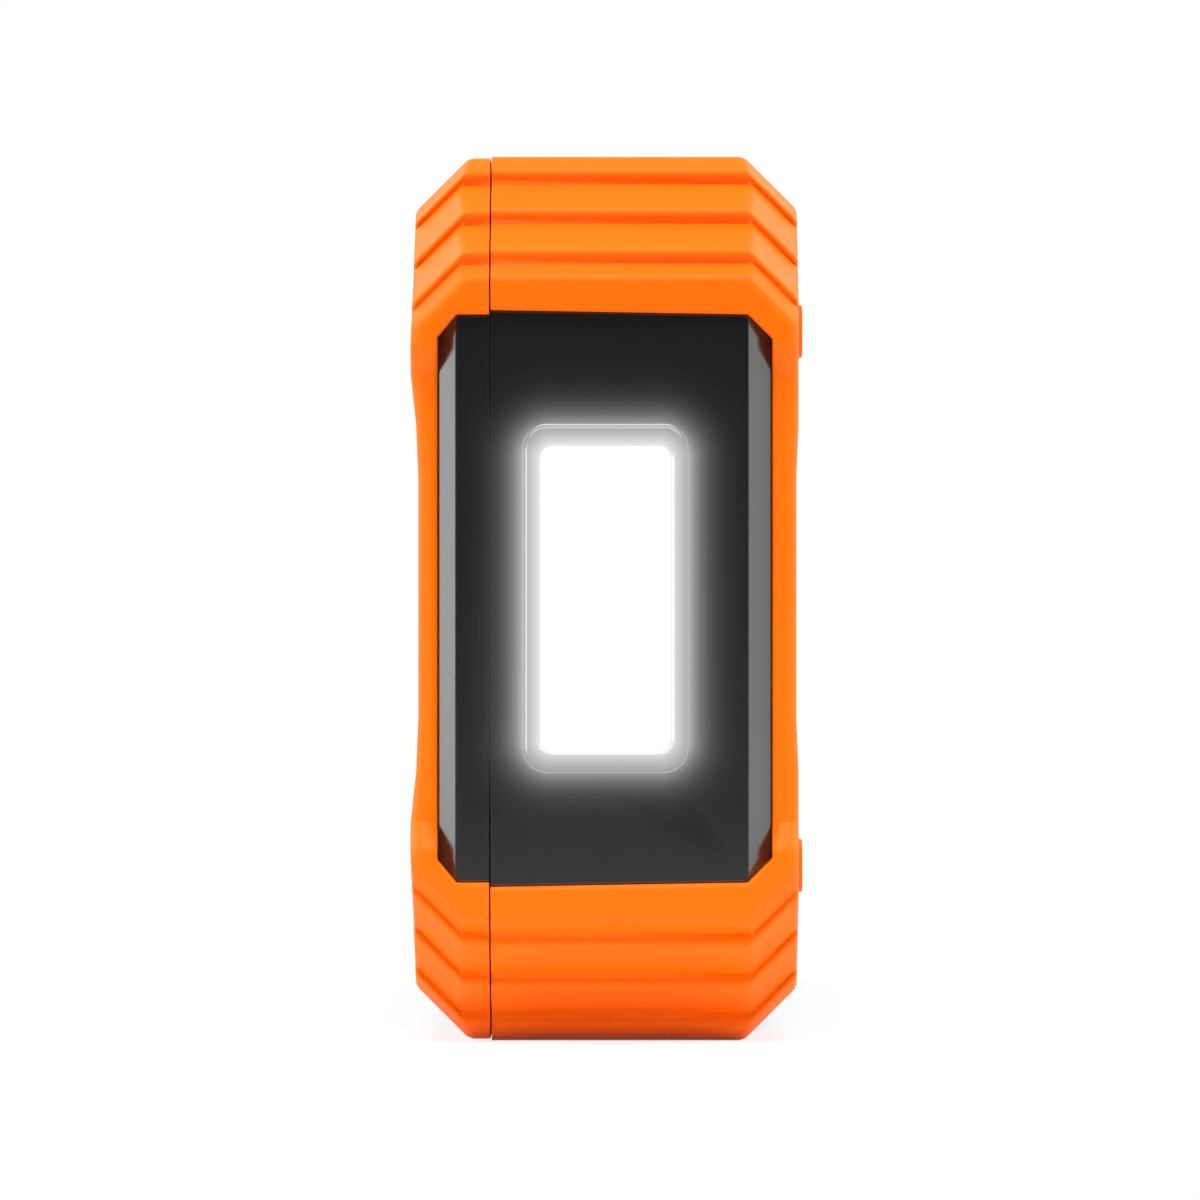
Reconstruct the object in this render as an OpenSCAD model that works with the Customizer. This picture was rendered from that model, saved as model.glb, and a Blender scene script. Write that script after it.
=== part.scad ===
// Handheld jump starter pack: two hard shells with bumpers moulded onto both ends, a lamp in
// one end, covered sockets in the other, and a stack of cells with their boards inside.
// X is the thickness, with the display at -X. Y is the length, with the lamp at -Y and the
// sockets at +Y. Z is the width: the pack stands on one of its long narrow sides at Z = 0.

/* [Case] */
// Length from the lamp end to the socket end
case_l = 176; // [172:1:196]
// Width between the two long narrow sides
case_w = 82; // [80:1:96]
// Thickness from the crown of the front bumpers to the pads of the rear bumpers
case_t = 36; // [35.4:0.1:40]
// Depth of the front shell, from the front crown to the parting line
front_t = 7.3; // [7:0.1:7.8]
// Wall of the hard shells
wall = 2; // [1.7:0.1:2.2]
// Gap that shows along the parting line
seam = 0.12; // [0.1:0.02:0.3]
// How much smaller the front shell is than the rear one along the long sides
seam_step = 0.15; // [0:0.05:0.3]

/* [Bumpers] */
// Number of steps in each ribbed corner
rib_count = 3; // [2:1:4]
// Distance from one rib to the next
rib_pitch = 3.8; // [3.2:0.1:4.2]
// Height of the step under each rib
rib_step = 1.4; // [1:0.1:1.8]
// How far the groove under each crest runs back beneath it
rib_undercut = 0.4; // [0.1:0.1:0.6]
// Height of the first rib, at the long side
rib_first = 1.5; // [1:0.1:2]
// Height of the last rib, at the end face
rib_last = 1; // [0.6:0.1:1.6]
// Height of the step where the ribs cross the cut edges
edge_step = 0.9; // [0.5:0.1:1.3]
// How much higher the ribs sit on the cut edges
edge_lift = 0.27; // [0:0.01:0.4]
// Distance from the mid-plane at which the 45 degree edge cuts start
bevel_x = 12.75; // [12.2:0.05:14]
// Bevel between the end face and the front and rear faces
end_bevel = 0.8; // [0.4:0.1:1.2]
// Drop of the front face from the crown of the corners to the waist
front_waist = 0.7; // [0.3:0.1:0.9]
// Drop of the rear face from the corners to the waist
rear_waist = 0.2; // [0.1:0.05:0.4]
// Bumper material over the ends and the long sides of the core
skin = 2.4; // [2:0.1:2.8]
// Bumper material over the front of the core
skin_front = 1.8; // [1.4:0.1:2.2]
// Bumper material over the rear of the core
skin_rear = 2.25; // [1.8:0.05:2.6]
// Least bumper material under the bottom of a step
skin_min = 1.2; // [0.8:0.1:1.6]
// Height of the rear pads
pad_h = 0.35; // [0.2:0.05:0.6]
// Width of a rear pad
pad_w = 4.8; // [3.5:0.1:6]
// Length of a rear pad
pad_l = 7.5; // [6:0.5:7.5]
// Distance of the pads from the mid-line of the rear face
pad_z = 24.6; // [22:0.1:26]

/* [End panels] */
// Height of the panel opening, along the width of the case
panel_h = 52.1; // [50:0.1:56]
// Depth of the black panel under the end face of the bumper
panel_sink = 1; // [0.6:0.1:1.4]
// Width of the slanted facet on the front side of the panel
facet_front = 1.75; // [1.2:0.05:2]
// Width of the slanted facet on the rear side of the panel
facet_rear = 2.25; // [1.6:0.05:2.4]
// Depth of the slanted facets at their outer edges
facet_sink = 1; // [0.6:0.05:1.1]
// How much lower the bumpers lie beside the panel than at the corners
band_sink = 1.8; // [0:0.1:1.8]
// How much higher the opening stands in the rear bumper than in the front one
panel_step = 0.4; // [0:0.05:0.6]

/* [Lamp] */
// Width of the lamp window
lamp_w = 11.8; // [9:0.1:13]
// Height of the lamp window
lamp_h = 27.8; // [20:0.1:30]
// Width of the frame beside the window
lamp_rim = 1.7; // [1.3:0.1:2.2]
// Width of the frame above and below the window
lamp_rim_end = 2.1; // [1.3:0.1:2.6]
// Height of the frame above the panel
lamp_proud = 0.5; // [0.3:0.1:0.8]
// Depth of the reflector
reflector_d = 6; // [4:0.5:8]

/* [Front face] */
// Length of the display window
display_l = 46; // [36:1:50]
// Width of the display window
display_w = 22; // [16:1:26]
// Place of the display window along the case
display_y = 26; // [24:1:28]
// Diameter of the power button
button_d = 15; // [12:0.5:18]
// Place of the power button along the case
button_y = -14; // [-18:1:-12]
// Travel of the power button
button_travel = 0.6; // [0.3:0.05:0.7]

/* [Sockets] */
// Place of the jump socket along the width, from the middle
jump_z = -12.7; // [-13:0.1:-12.4]
// Distance between the two jump contacts
jump_pitch = 9.6; // [9:0.1:10.4]
// Bore of the jump contacts
contact_bore = 5; // [4:0.1:5.2]
// Thickness of the rubber covers
cover_t = 1.7; // [1.4:0.1:2]

/* [Battery] */
// Number of cells in the stack
cell_count = 3; // [3]
// Thickness of a cell
cell_t = 6.6; // [6:0.1:6.7]
// Length of the bay of the lamp, in front of the cells
lamp_bay_l = 17; // [16:0.5:24]
// Length of the bay of the boards and the sockets, behind the cells
board_bay_l = 61; // [60:0.5:72]

/* [Hidden] */
$fn = 48;

orange = [1, 0.42, 0.02];
black = [0.13, 0.13, 0.13];
board_green = [0.1, 0.32, 0.2];
metal = [0.75, 0.75, 0.77];
brass = [0.85, 0.68, 0.3];

half_l = case_l / 2;
half_w = case_w / 2;
reach = 2 * case_l;      // longer than anything that it cuts
root2 = sqrt(2);
slack = 0.05;            // clearance of a fixed piece in its seat
play = 0.3;              // clearance of a moving piece

// Ribbed corners
rib_slope = rib_pitch / (rib_pitch - rib_step);
corner_v = rib_first + (rib_count - 1) * rib_pitch + rib_step + rib_last;
groove_over = 0.1;         // how far the cutter of a groove starts before the crest
groove_sum = corner_v - rib_last + rib_slope * rib_last + rib_undercut * rib_step / rib_pitch;

pad_inset = 2.8;         // from the end of the case to a rear pad
pad_r = 1.5;

// Levels through the thickness
front_x = -case_t / 2;
rear_x = case_t / 2 - pad_h;
part_x = front_x + front_t;
waist_front_x = front_x + front_waist;
waist_rear_x = rear_x - rear_waist;
face_sink = 0.4;         // the black faces lie under the waist of the bumpers
face_front_x = waist_front_x + face_sink;
face_rear_x = waist_rear_x - face_sink;
core_front_x = waist_front_x + skin_front;
core_rear_x = waist_rear_x - skin_rear;
inner_front_x = face_front_x + wall;
inner_rear_x = core_rear_x - wall;
deep_rear_x = face_rear_x - wall;

// Levels along the length, from the middle
core_y = half_l - skin;
panel_y = half_l - panel_sink;
inner_y = core_y - wall;
jump_body_l = 20;        // from the inside of the end wall to the back of the jump socket

// The hard core under the bumpers, and the raised black body between them
core_w = half_w - skin;
core_sum = half_l + half_w - groove_sum - skin_min * root2;
core_edge = half_w + bevel_x - skin * root2;
side_sink = 0.8;
face_w = half_w - side_sink;
face_edge = half_w + bevel_x - side_sink * root2;
face_y = half_l - 7.5;   // end of the black face
face_z = half_w - 12;    // half width of the black face beside the corner pads
face_sum = face_y + 18.5;
flank_sum = face_sum - 10;
face_rim = wall + 0.6;   // wall round the outline of the black face

// ---- forms -------------------------------------------------------------------------------

// A drawing with Y across and Z up becomes a solid between two places on X
module along_x(x0, x1)
    translate([x0, 0, 0]) rotate([90, 0, 90]) linear_extrude(x1 - x0) children();

// A drawing with X across and Z up becomes a solid between two places on Y
module along_y(y0, y1)
    translate([0, y1, 0]) rotate([90, 0, 0]) linear_extrude(y1 - y0) children();

// A drawing with X across and Y up becomes a solid between two places on Z
module along_z(z0, z1)
    translate([0, 0, z0]) linear_extrude(z1 - z0) children();

module rounded(w, h, r) {
    square([w - 2 * r, h], center = true);
    square([w, h - 2 * r], center = true);
    for (i = [-1, 1], j = [-1, 1])
        translate([i * (w / 2 - r), j * (h / 2 - r)]) circle(r);
}

// A box between two corners
module box(a, b) translate(a) cube(b - a);

function flipped(points) = [for (i = [len(points) - 1:-1:0]) [points[i][0], -points[i][1]]];

// One side of the case is a line of [place along Y, half width]; the block has that line on
// both long sides. Its edges are cut at 45 degrees where the half width and the distance from
// the mid-plane add up to more than the edge line and the bevel allow.
module edged_block(side, line, edge_line, start_x, x0, x1) intersection() {
    along_x(x0, x1) polygon(concat(line, flipped(line)));
    edge_limit(side * 45, edge_line, start_x);
    edge_limit(side * 135, edge_line, start_x);
}

module edge_limit(angle, edge_line, start_x)
    rotate([0, angle, 0]) along_x(-reach, reach) polygon(concat(
        [[edge_line[0][0], -reach]],
        [for (p = edge_line) [p[0], (p[1] + start_x) / root2]],
        [[edge_line[len(edge_line) - 1][0], -reach]]));

// The ribbed corner at the lamp end: from the end face to the long side, then on to the middle
function rib_u(k) = rib_slope * rib_last + (rib_count - 1 - k) * rib_pitch;
function rib_v(k) = rib_first + k * rib_pitch;
function rib_line(step, lift, width) = concat(
    [[-half_l, width - corner_v]],
    [for (k = [rib_count - 1:-1:0]) each [
        [rib_u(k) - half_l, width - rib_v(k) + lift - step],
        [rib_u(k) - half_l, width - rib_v(k) + lift]]],
    [[rib_u(0) + rib_slope * rib_first - half_l, width], [0, width]]);

// A plane through the root of the groove under a crest, from the height h over its bottom
function groove_line(k, h, step, lift, width) =
    let (bottom = width - rib_v(k) + lift - step)
    [[rib_u(k) - groove_over - half_l,
        bottom + h + groove_over * (h / rib_undercut - 1 + step / rib_pitch)],
        [rib_u(k) + rib_undercut - half_l, bottom + rib_undercut * (1 - step / rib_pitch)]];

// The groove under a crest: below the crest's leaning face, and above the slope of the next rib
module rib_groove(side, k, width) difference() {
    edged_block(side, groove_line(k, rib_step, rib_step, 0, width),
        groove_line(k, edge_step, edge_step, edge_lift, width), bevel_x, -reach, reach);
    edged_block(side, groove_line(k, 0, rib_step, 0, width),
        groove_line(k, 0, edge_step, edge_lift, width), bevel_x, -reach, reach);
}

// Heights, from the middle of the width, at which the outer faces of the bumpers bend, and how
// far the front, rear and end faces lie at each of them under their highest places
bend_z = [11, 16, panel_h / 2 - 5.5, panel_h / 2 - 3, 28.5, half_w];
front_drop = [front_waist, front_waist * 0.7, 0, 0, 0.2, 0.4];
rear_drop = [rear_waist, 0, 0, 0, 0, 0];
end_drop = [band_sink, band_sink, band_sink, 0, 0, 0];

// The block whose face lies at these distances from the middle, one for each height
module under_face(distances) {
    last = len(bend_z) - 1;
    along_y(-reach, reach) polygon(concat(
        [[-reach, half_w], [-reach, -half_w]],
        [for (i = [last:-1:0]) [distances[i], -bend_z[i]]],
        [for (i = [0:last]) [distances[i], bend_z[i]]]));
}

// Keeps what lies inside the outer face and the end face, and inside the bevel between them
module face_limit(side) {
    top = side < 0 ? -front_x : rear_x;
    drop = side < 0 ? front_drop : rear_drop;
    intersection() {
        rotate([0, 0, side > 0 ? 0 : 180]) under_face([for (d = drop) top - d]);
        rotate([0, 0, -90]) under_face([for (d = end_drop) half_l - d]);
        rotate([0, 0, side > 0 ? -45 : -135]) under_face(
            [for (i = [0:len(drop) - 1]) (top - drop[i] + half_l - end_drop[i] - end_bevel) / root2]);
    }
}

// Outline of the black face, drawn in by t; its long sides end at the half width top
function face_outline(t, top) =
    let (y = face_y - t, z = face_z - t, s = face_sum - t * root2, f = flank_sum - t * root2,
        quarter = [[y, s - y], [s - z, z], [f - z, z], [f - top, top]],
        half = concat(quarter, [for (i = [3:-1:0]) [-quarter[i][0], quarter[i][1]]]))
    concat(half, [for (i = [7:-1:0]) [half[i][0], -half[i][1]]]);

// The panel opening, with its slanted corners
function panel_outline() =
    let (h = panel_h / 2, a = core_front_x, b = core_rear_x, s = panel_step)
    [[a, -h + facet_front * 1.2], [a + facet_front, -h], [part_x, -h], [part_x, -h - s],
        [b - facet_rear, -h], [b, -h + facet_rear], [b, h - facet_rear], [b - facet_rear, h],
        [part_x, h + s], [part_x, h], [a + facet_front, h], [a, h - facet_front * 1.2]];

// The core, drawn in by t
module core_form(side, t) {
    y = core_y - t;
    w = core_w - t;
    sum = core_sum - t * root2;
    line = [[-y, sum - y], [w - sum, w], [sum - w, w], [y, sum - y]];
    edged_block(side, line, line, core_edge - t * root2 - w,
        side < 0 ? core_front_x + t : part_x, side < 0 ? part_x : core_rear_x - t);
}

// The raised body between the bumpers, drawn in by t at its faces and by rim at its outline
module face_form(side, t, rim) intersection() {
    w = face_w - t;
    along_x(side < 0 ? face_front_x + t : part_x, side < 0 ? part_x : face_rear_x - t)
        polygon(face_outline(rim, w));
    edge_limit(side * 45, [[-half_l, w], [half_l, w]], face_edge - t * root2 - w);
    edge_limit(side * 135, [[-half_l, w], [half_l, w]], face_edge - t * root2 - w);
}

module cavity(side) {
    core_form(side, wall);
    face_form(side, wall, face_rim);
}

// The part of the core that fills the opening of an end panel, at the lamp end
module panel_boss() intersection() {
    along_y(-panel_y, -core_y + wall / 2) polygon(panel_outline());
    along_z(-half_w, half_w) polygon([
        [core_front_x, -inner_y], [core_front_x, facet_sink - panel_y],
        [core_front_x + facet_front, -panel_y], [core_rear_x - facet_rear, -panel_y],
        [core_rear_x, facet_sink - panel_y], [core_rear_x, -inner_y]]);
}

// Mirrors a piece of the lamp end to the socket end
module other_end() mirror([0, 1, 0]) children();

// Keeps what lies on one side of the parting line, half a seam away from it
module one_side(side)
    box([side < 0 ? -reach : part_x + seam / 2, -reach, -reach],
        [side < 0 ? part_x - seam / 2 : reach, reach, reach]);

// ---- shells and bumpers ------------------------------------------------------------------

// One shell without its details
module shell_form(side) difference() {
    intersection() {
        union() {
            core_form(side, 0);
            face_form(side, 0, 0);
            panel_boss();
            other_end() panel_boss();
        }
        one_side(side);
    }
    cavity(side);
}

// Raises a piece drawn about the middle of the case, so that the pack stands at Z = 0
module standing() translate([0, 0, half_w]) children();

// ---- what the shells hold, and where -----------------------------------------------------

// Tongue of the front shell, inside the rim of the rear one
tongue_h = 1.4;
tongue_t = 0.9;
tongue_gap = 0.1;

// Finger grooves across the long sides of the rear shell
grip_count = 9;
grip_pitch = 7;
grip_w = 2.4;
grip_d = 0.6;
grip_x0 = part_x + 2.6;
grip_x1 = bevel_x - 2.6;

// Screws that hold the shells together, beside the cells
screw_y = [-46, 0, 46];
screw_r = 1.3;
screw_head_r = 2.6;
screw_head_h = 2;
screw_l = 9;
screw_hole_r = screw_r + 0.2;
bore_r = screw_head_r + 0.2;
boss_r = 3.4;
boss_gap = 1;            // from a boss to the side wall
seat_t = 2;
seat_x = part_x + 8;     // the heads rest here, deep in the rear bosses
screw_z = core_w - wall - boss_gap - boss_r;
drive_l = 3.2;           // cross recess of a screw head
drive_w = 0.6;
drive_d = 1;

// Battery: the stack lies against the rear foam, between the bosses and the two bays
cell_gap = 0.8;          // from a cell to a boss
cell_w = 2 * (screw_z - boss_r - cell_gap);
cell_y0 = lamp_bay_l - half_l;
cell_y1 = half_l - board_bay_l;
cell_r = 1.8;
foam_rear_t = 0.5;
foam_inset = 4;
stack_x = inner_rear_x - foam_rear_t - cell_count * cell_t;
tab_l = 3.2;
tab_w = 8;
tab_t = 0.3;
tab_z = 14;
balance_y = cell_y1 + tab_l;
balance_t = 1.6;
balance_inset = 5;

// Ribs of the rear shell, which the battery lies on
bed_pitch = 14;
bed_t = 1.2;
bed_start = 21;
bed_inset = 6;

module at_screws()
    for (y = screw_y, i = [-1, 1]) translate([0, y, i * screw_z]) rotate([0, 90, 0]) children();

// Control board behind the front face, on four posts: from the button to the jump socket
board_x = part_x + 0.5;
board_t = 1.6;
board_back = board_x + board_t;
board_y0 = button_y - 13;
board_y1 = inner_y - jump_body_l - 5.6;
board_w = 52;
post_inset = 4;
post_z = board_w / 2 - post_inset;
post_r = 2.6;
small_screw_r = 0.95;
small_head_r = 1.8;
small_head_h = 1.3;
small_screw_l = 5.5;
small_hole_r = small_screw_r + 0.1;

// Tall parts of the control board, in the bay of the boards
inductor_r = 6.5;
inductor_h = 8;
inductor_y = board_y1 - 14;
inductor_z = 13;
capacitor_r = 4;
capacitor_h = 11;
capacitor_y = [board_y1 - 20, board_y1 - 11];
capacitor_z = 1;

module at_posts()
    for (y = [board_y0 + post_inset, board_y1 - post_inset], i = [-1, 1])
        translate([0, y, i * post_z]) rotate([0, 90, 0]) children();

// Display window, on a ledge of the front face
window_t = 1.2;
ledge = 2;
window_r = 2.5;
module at_display(x0, x1) along_x(x0, x1) translate([display_y, 0]) children();

// Power button and the switch behind it
button_proud = 0.3;
button_r = button_d / 2;
button_gap = 0.15;
flange_t = 1;
flange_r = button_r + 1.3;
flange_x = inner_front_x + 0.1;
switch_h = 2.15;
switch_w = 6;
plunger_r = 1.6;
plunger_gap = 0.05;
switch_x = board_x - switch_h;
stem_x = switch_x - button_travel - plunger_gap;
module at_button() translate([0, button_y, 0]) rotate([0, 90, 0]) children();

// Lamp
lamp_x = -0.1;
lamp_r = 1;
lamp_frame_r = 2.2;
collar = 0.8;            // wall of the frame inside the hole of the shell
lens_sink = 0.15;
lens_flange = 1;
lens_flange_r = 1.6;
reflector_y = -inner_y + lens_flange;
lamp_board_y = reflector_y + reflector_d;
lamp_board_t = 1.2;
reflector_w = lamp_w + 4.2;
reflector_h = lamp_h + 4.2;
lamp_board_h = reflector_h + 14;
lamp_post_z = lamp_board_h / 2 - 2.5;
lamp_post_r = 2.4;
chip = [2.8, 0.7, 3.5];
chip_rows = 6;
chip_pitch = 4.1;
chip_x = 2.2;            // from the middle of the lamp to a column of chips
lead_pitch = 3;
lamp_lead_t = 1.2;
lead_route = [
    [stack_x + 1, lamp_board_y + lamp_board_t], [stack_x + 1, lamp_board_y + lamp_board_t + 0.6],
    [(board_x + board_back) / 2, cell_y0 + 1], [(board_x + board_back) / 2, board_y0]];
module at_lamp(y0, y1) along_y(y0, y1) translate([lamp_x, 0]) children();
module at_lamp_posts()
    for (i = [-1, 1]) translate([lamp_x, 0, i * lamp_post_z]) rotate([-90, 0, 0]) children();

// Covers of the sockets: plates that lie in one recess and turn on beads along their edges
cover_proud = 0.25;
cover_gap = 0.15;        // between a cover and the floor of the recess
cover_play = 0.3;        // round the edges of a cover
cover_back = panel_y + cover_proud - cover_t;
floor_y = cover_back - cover_gap;
recess_z = panel_h / 2 - 1.15;
recess_x0 = part_x + 0.9;
bead_r = 0.8;
bead_gap = 0.06;
hinge_x = core_rear_x - facet_rear - 1.55;
hinge_y = floor_y + bead_r + 0.25;
anchor_w = 1.25;
anchor_lip = 0.4;        // above the axis of the bead
anchor_under = 0.7;      // under the bead, towards the cover
recess_x1 = hinge_x + anchor_w + slack;
neck = 1.2;              // from the bead to the plate
neck_t = 0.8;
cover_x0 = recess_x0 + cover_play;
cover_x1 = hinge_x - neck;
cover_h = recess_z - 1.5 * cover_play;
cover_z = recess_z / 2;
hinge_l = cover_h - 6;
peg_l = 8;
peg_t = 1;
barb_t = 1;
jump_cover_z = -cover_z;
port_cover_z = cover_z;

// Jump socket: a mouth, a groove round an island, and two contacts in the island
jump_x = 0.3;
mouth = [12, 21];
mouth_d = 2.2;
groove_w = 1.5;
groove_d = 8;
jump_wall = 0.8;
nose = [mouth[0] + 2 * jump_wall, mouth[1] + 2 * jump_wall];
jump_flange = [nose[0] + 2.4, nose[1] + 2.4];
jump_flange_t = 2;
contact_r = contact_bore / 2 + 0.5;
contact_l = 16;
contact_depth = 14;
contact_lip = 0.3;
contact_y1 = floor_y - mouth_d - contact_lip;
tail_r = 2;
tail_l = 6.5;
tail_y = contact_y1 - contact_l - tail_l;
lead_r = 2.1;
sleeve_r = 2.8;
sleeve_l = 7;

// Small sockets
usb_a = [5.7, 13.1];
usb_a_l = 14;
usb_wall = 0.3;
usb_c = [3.26, 8.94];
usb_c_l = 10;
dc_box = 9.4;
dc_l = 12;
dc_nose_r = 4.2;
dc_bore_r = 2.8;
dc_pin_r = 1.05;
dc_depth = 9.5;
output_x = inner_rear_x - 5;
output_t = 1.6;
usb_z = cover_z - 4.45;
usb_a_x = output_x - usb_a[0] / 2 - slack;
usb_c_x = board_back + usb_c[0] / 2 + slack;
dc_x = output_x - dc_box / 2 - slack;
dc_z = usb_z + usb_a[1] / 2 + dc_box / 2 + 0.4;
plug_play = 0.35;        // round the plugs of the covers, so that they swing clear

// Output board, which carries the small sockets, and the pins that join it to the control board
board_tongue_y = inner_y - tongue_t - play;
output_lap = 8;
board_tongue_w = 14;
header_y = board_y1 - output_lap / 2;
header = [3, 2.4, 10];
pin_pitch = 2.54;
pin_t = 0.8;

// ---- shells ------------------------------------------------------------------------------

module front_shell() color(black) standing() {
    difference() {
        shell_form(-1);
        at_display(-reach, inner_front_x + 1)
            rounded(display_l - 2 * ledge, display_w - 2 * ledge, 1);
        at_display(-reach, face_front_x + window_t)
            rounded(display_l + 2 * slack, display_w + 2 * slack, window_r);
        at_button() cylinder(r = button_r + button_gap, h = 2 * reach, center = true);
    }
    // bosses that the case screws bite into
    difference() {
        at_screws() translate([0, 0, face_front_x + wall / 2])
            cylinder(r = boss_r - play, h = seat_x - seat_t - seam - face_front_x - wall / 2);
        at_screws() translate([0, 0, seat_x - screw_l]) cylinder(r = screw_r, h = screw_l);
    }
    // posts of the control board
    difference() {
        at_posts() translate([0, 0, inner_front_x - wall / 2])
            cylinder(r = post_r, h = board_x - inner_front_x + wall / 2);
        at_posts() translate([0, 0, board_back - small_screw_l])
            cylinder(r = small_screw_r, h = small_screw_l);
    }
    rim_tongue();
}

// Tongue of the front shell, which reaches into the rim of the rear shell
module rim_tongue() difference() {
    union() {
        rim_block(wall + tongue_gap, part_x + tongue_h);
        rim_block(wall - tongue_gap, part_x - seam / 2);
    }
    rim_block(wall + tongue_gap + tongue_t, reach);
}
module rim_block(t, x1) {
    y = core_y - t;
    w = core_w - t;
    sum = core_sum - t * root2;
    along_x(part_x - tongue_t, x1) polygon([
        [-y, y - sum], [w - sum, -w], [sum - w, -w], [y, y - sum],
        [y, sum - y], [sum - w, w], [w - sum, w], [-y, sum - y]]);
}

module grip_grooves() for (i = [0, 1], k = [0:grip_count - 1]) mirror([0, 0, i])
    along_y((k - (grip_count - 1) / 2) * grip_pitch - grip_w / 2,
            (k - (grip_count - 1) / 2) * grip_pitch + grip_w / 2)
        polygon([
            [grip_x0, face_w - grip_d], [grip_x1, face_w - grip_d],
            [grip_x1 + 2 * grip_d, face_w + grip_d], [grip_x0 - 2 * grip_d, face_w + grip_d]]);

module rear_shell() color(black) standing() {
    difference() {
        shell_form(1);
        at_screws() translate([0, 0, seat_x]) cylinder(r = bore_r, h = reach);
        grip_grooves();
        // hole of the lamp
        at_lamp(-half_l, -inner_y + 1) rounded(
            lamp_w + 2 * collar + 2 * slack, lamp_h + 2 * collar + 2 * slack, lamp_r + collar);
        // recess of the covers, and the holes of the sockets and of the cover anchors
        along_y(floor_y, half_l) translate([(recess_x0 + recess_x1) / 2, 0])
            rounded(recess_x1 - recess_x0, 2 * recess_z, 1.5);
        along_y(inner_y - 1, half_l) {
            translate([jump_x, jump_z]) rounded(nose[0] + 2 * slack, nose[1] + 2 * slack, 1.5);
            translate([usb_a_x, usb_z]) rounded(usb_a[0] + 2 * slack, usb_a[1] + 2 * slack, 0.6);
            translate([usb_c_x, usb_z])
                rounded(usb_c[0] + 2 * slack, usb_c[1] + 2 * slack, usb_c[0] / 2);
            translate([dc_x, dc_z]) circle(dc_nose_r + slack);
            for (z = [jump_cover_z, port_cover_z])
                translate([hinge_x + anchor_w - peg_t - slack, z - peg_l / 2 - slack])
                    square([peg_t + 2 * slack, peg_l + 2 * slack]);
        }
    }
    // bosses with the seats of the case screws
    difference() {
        at_screws() translate([0, 0, seat_x - seat_t])
            cylinder(r = boss_r, h = deep_rear_x + wall / 2 - seat_x + seat_t);
        at_screws() translate([0, 0, seat_x]) cylinder(r = bore_r, h = reach);
        at_screws() cylinder(r = screw_hole_r, h = 2 * reach, center = true);
    }
    // ribs that the battery lies on
    for (y = [cell_y0 + bed_start:bed_pitch:cell_y1 - foam_inset])
        box([inner_rear_x, y - bed_t / 2, bed_inset - cell_w / 2],
            [deep_rear_x + wall / 2, y + bed_t / 2, cell_w / 2 - bed_inset]);
    // posts of the lamp board
    difference() {
        at_lamp_posts() translate([0, 0, -inner_y - wall / 2])
            cylinder(r = lamp_post_r, h = lamp_board_y + inner_y + wall / 2);
        at_lamp_posts() translate([0, 0, lamp_board_y - small_screw_l])
            cylinder(r = small_screw_r, h = small_screw_l + 1);
    }
}

// ---- bumpers -----------------------------------------------------------------------------

// One bumper at the lamp end: the ribbed corners, the ring round the panel and the edge bands
module bumper_form(side) {
    width = side < 0 ? half_w - seam_step : half_w;
    difference() {
        intersection() {
            edged_block(side, rib_line(rib_step, 0, width),
                rib_line(edge_step, edge_lift, width), bevel_x, -reach, reach);
            face_limit(side);
            one_side(side);
        }
        for (k = [0:rib_count - 1]) rib_groove(side, k, width);
        core_form(side, 0);
        along_x(-reach, reach) polygon(face_outline(0, half_w + 1));
        along_y(-half_l - 1, -core_y) polygon(panel_outline());
    }
}

// Pads on a rear bumper, which the pack lies on
module pads() for (i = [-1, 1])
    along_x(waist_rear_x, rear_x + pad_h)
        translate([pad_inset + pad_l / 2 - half_l, i * pad_z])
            rounded(pad_l, pad_w, pad_r);

module front_bumper_lamp_end() color(orange) standing() bumper_form(-1);
module front_bumper_socket_end() color(orange) standing() other_end() bumper_form(-1);
module rear_bumper_lamp_end() color(orange) standing() {
    bumper_form(1);
    pads();
}
module rear_bumper_socket_end() color(orange) standing() other_end() {
    bumper_form(1);
    pads();
}

// ---- lamp --------------------------------------------------------------------------------

module lamp_frame() color(black) standing() difference() {
    union() {
        at_lamp(-panel_y - lamp_proud, -panel_y)
            rounded(lamp_w + 2 * lamp_rim, lamp_h + 2 * lamp_rim_end, lamp_frame_r);
        at_lamp(-panel_y - lamp_proud / 2, -inner_y)
            rounded(lamp_w + 2 * collar, lamp_h + 2 * collar, lamp_r + collar);
    }
    at_lamp(-half_l - 1, -inner_y + 1) rounded(lamp_w, lamp_h, lamp_r);
}

module lamp_lens() color([1, 1, 1]) standing() {
    at_lamp(-panel_y - lamp_proud + lens_sink, -inner_y + lens_flange / 2)
        rounded(lamp_w - 2 * slack, lamp_h - 2 * slack, lamp_r);
    at_lamp(-inner_y, -inner_y + lens_flange)
        rounded(lamp_w + 2 * lamp_rim, lamp_h + 2 * lamp_rim, lens_flange_r);
}

// White box that widens from the board to the lens
module lamp_reflector() color([0.95, 0.95, 0.95]) standing() difference() {
    at_lamp(reflector_y, lamp_board_y) rounded(reflector_w, reflector_h, 1.5);
    intersection() {
        along_z(-half_w, half_w) funnel(lamp_x, lamp_w / 2 + 1, lamp_w / 2 - 1.5);
        rotate([0, 90, 0]) along_z(-half_w, half_w) funnel(0, lamp_h / 2 + 1, lamp_h / 2 - 1.5);
    }
}
module funnel(mid, front, back) polygon([
    [mid - front, reflector_y - 1], [mid - front, reflector_y], [mid - back, lamp_board_y],
    [mid - back, lamp_board_y + 1], [mid + back, lamp_board_y + 1], [mid + back, lamp_board_y],
    [mid + front, reflector_y], [mid + front, reflector_y - 1]]);

module lamp_board() color(board_green) standing() difference() {
    at_lamp(lamp_board_y, lamp_board_y + lamp_board_t)
        rounded(reflector_w - 2, lamp_board_h, 1.5);
    at_lamp_posts() cylinder(r = small_hole_r, h = 2 * reach, center = true);
}

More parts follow.
